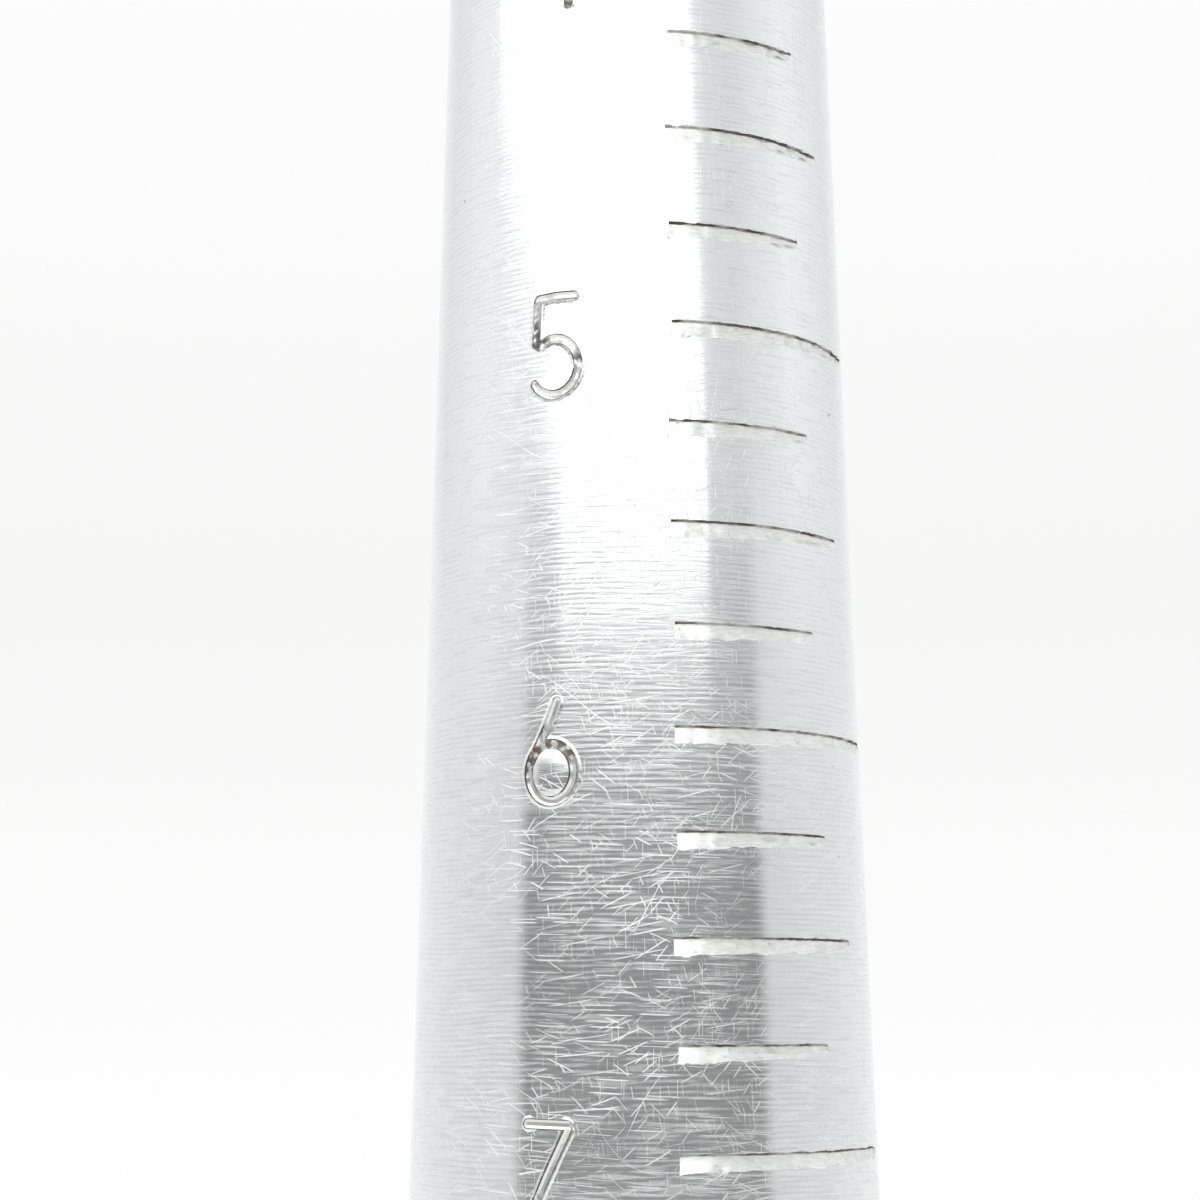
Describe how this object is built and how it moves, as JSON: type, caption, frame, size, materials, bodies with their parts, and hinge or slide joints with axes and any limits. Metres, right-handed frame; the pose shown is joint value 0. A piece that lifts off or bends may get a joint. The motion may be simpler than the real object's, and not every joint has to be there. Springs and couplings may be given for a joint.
{
  "type": "ring mandrel",
  "caption": "Tapered aluminium ring mandrel with cut size marks and stamped numbers, on a turned wooden handle with a ferrule, for gauging finger rings.",
  "frame": {"origin": "centre of the butt cap's flat face, on the mandrel's axis", "axes": "+Z from the butt to the small end of the taper; -Y is the side with the numbers, with the marks to the +X side of them"},
  "size_m": [0.0318, 0.0318, 0.3354],
  "materials": {
    "aluminium": "lathe-turned and worn, with fine turning lines and scratches",
    "nickel_plate": "bright nickel plate, lightly worn",
    "brass": "dull brass",
    "beech": "lacquered beech, satin",
    "zinc_steel": "zinc plated"
  },
  "bodies": {
    "root": {"gauge_taper": "aluminium", "stop_collar": "aluminium", "ferrule": "nickel_plate", "ferrule_pin_right": "brass", "ferrule_pin_left": "brass", "handle": "beech", "tang_stud": "zinc_steel", "butt_washer": "zinc_steel", "spring_washer": "zinc_steel", "butt_nut": "zinc_steel", "butt_cap": "aluminium"}
  },
  "joints": []
}
